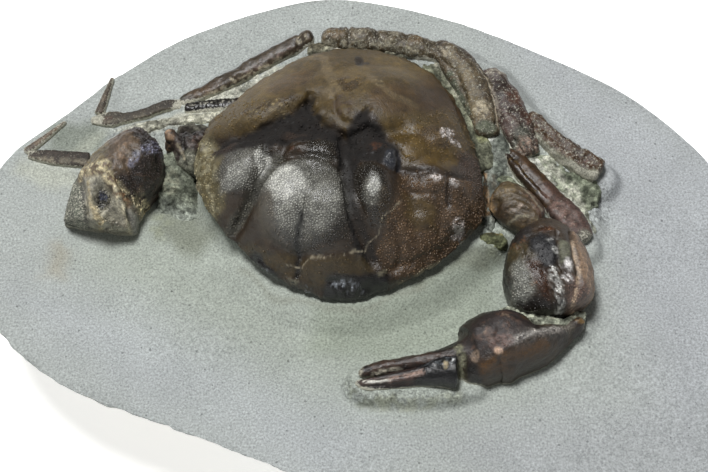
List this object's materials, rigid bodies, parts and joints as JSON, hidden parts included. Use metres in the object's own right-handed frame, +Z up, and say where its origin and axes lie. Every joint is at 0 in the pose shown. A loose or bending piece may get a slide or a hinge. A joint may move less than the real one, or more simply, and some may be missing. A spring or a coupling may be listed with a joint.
{
  "type": "fossil crab",
  "caption": "Domed fossil crab in high relief on an oval lens-shaped stone, claws and legs spread round its shell.",
  "frame": {"origin": "middle of the stone's outline, at the flat spot that it rests on", "axes": "+X along the stone's length, to the side of the crab's left claw; -Y the way that the crab faces; +Z up, out of the dressed face"},
  "size_m": [0.216, 0.166, 0.0644],
  "materials": {
    "matrix_stone": "pale blue-grey siltstone, ground to a matt face, brown skin at the rim and underneath",
    "carapace_shell": "shell turned to dark mineral, finely grained and glossy, amber-brown at the rear and black in front",
    "claw_shell": "shell turned to dark red-brown mineral, finely grained and glossy",
    "leg_shell": "shell turned to brown mineral, semi-matt, chalky stone dust in its hollows"
  },
  "bodies": {
    "root": {"stone": "matrix_stone", "carapace": "carapace_shell", "tail_band": "leg_shell", "left_claw_arm": "claw_shell", "left_claw_wrist": "claw_shell", "left_claw_hand": "claw_shell", "left_claw_finger": "claw_shell", "left_second_thigh": "leg_shell", "left_second_shin": "leg_shell", "left_third_thigh": "leg_shell", "left_third_shin": "leg_shell", "left_rear_thigh": "leg_shell", "right_claw_arm": "claw_shell", "right_claw_hand": "claw_shell", "right_second_shin": "leg_shell", "right_second_toe": "leg_shell", "right_third_thigh": "leg_shell", "right_third_shin": "leg_shell", "right_third_toe": "leg_shell", "right_rear_thigh": "leg_shell"}
  },
  "joints": []
}
